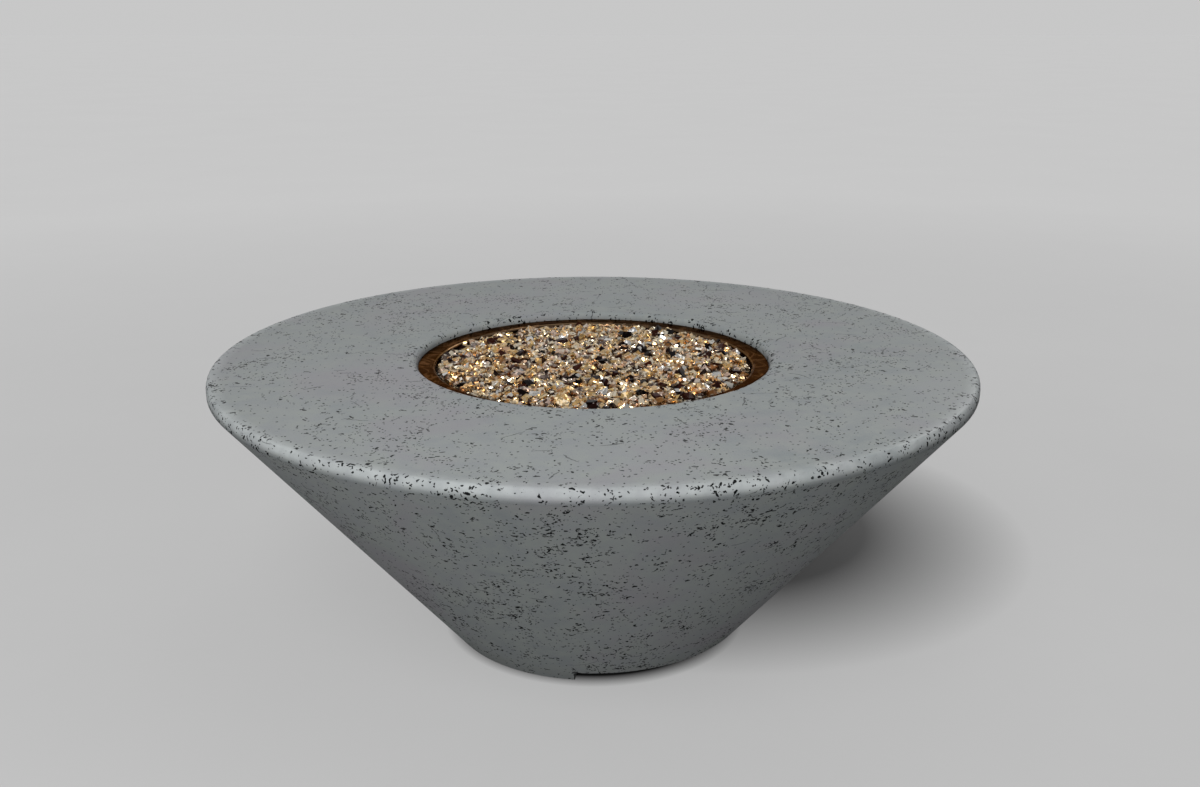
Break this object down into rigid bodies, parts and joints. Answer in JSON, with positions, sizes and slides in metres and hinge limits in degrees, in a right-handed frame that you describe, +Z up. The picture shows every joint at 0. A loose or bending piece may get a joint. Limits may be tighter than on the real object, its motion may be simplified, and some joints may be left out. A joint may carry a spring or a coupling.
{
  "type": "fire pit table",
  "caption": "Round low fire pit table: an inverted concrete cone whose flat top frames a recessed steel pan of broken fire glass over a gas burner fed by a key valve.",
  "frame": {"origin": "centre of the base at floor level, on the underside of the two foot pads", "axes": "+Z up; -Y towards the viewer of the picture; the key valve is in the rear wall towards +Y"},
  "size_m": [1.2192, 1.2188, 0.465],
  "materials": {
    "concrete": "satin, pale grey glass-fibre concrete with black fibre flecks",
    "pan_steel": "polished, heat-tinted bronze",
    "burner_steel": "satin",
    "brass": "machined",
    "hose_steel": "corrugated and braided",
    "trim_chrome": "polished",
    "chromed_ball": "polished",
    "gasket_fibre": "matt woven",
    "seal_plastic": "matt white",
    "glass_fill": "broken tempered glass in mixed clear, bronze and black",
    "clear_glass": "clear and mirrored, sharp facets",
    "bronze_glass": "bronze reflective, sharp facets",
    "black_glass": "black reflective, sharp facets"
  },
  "bodies": {
    "table": {"concrete_shell": "concrete", "pan_gasket": "gasket_fibre", "burner_pan": "pan_steel", "star_burner": "burner_steel", "hub_nipple": "brass", "hub_washers": "burner_steel", "hub_locknuts": "brass", "air_mixer": "brass", "mixer_jet": "brass", "hub_adapter": "brass", "outlet_adapter": "brass", "gas_inlet_adapter": "brass", "hose_flare_nuts": "brass", "gas_hose": "hose_steel", "valve_body": "brass", "valve_end_cap": "brass", "valve_seats": "seal_plastic", "stem_packing": "seal_plastic", "packing_nut": "brass", "wall_sleeve": "brass", "sleeve_washer": "burner_steel", "sleeve_locknut": "brass", "valve_cover_ring": "trim_chrome", "fire_glass_bed": "glass_fill", "clear_glass_pieces": "clear_glass", "bronze_glass_pieces": "bronze_glass", "black_glass_pieces": "black_glass"},
    "valve_spindle": {"valve_stem": "brass", "valve_ball": "chromed_ball"},
    "key": {"key_shaft": "trim_chrome", "key_bar": "trim_chrome"}
  },
  "joints": [
    {"name": "valve_turn", "type": "hinge", "parent": "table", "child": "valve_spindle", "pos_m": [0, 0.38463, 0.27597], "axis": [0, 0.7683, -0.6401], "range_deg": [0, 90]},
    {"name": "key_pull", "type": "slide", "parent": "valve_spindle", "child": "key", "axis": [0, 0.7683, -0.6401], "range_m": [0, 0.045]}
  ]
}
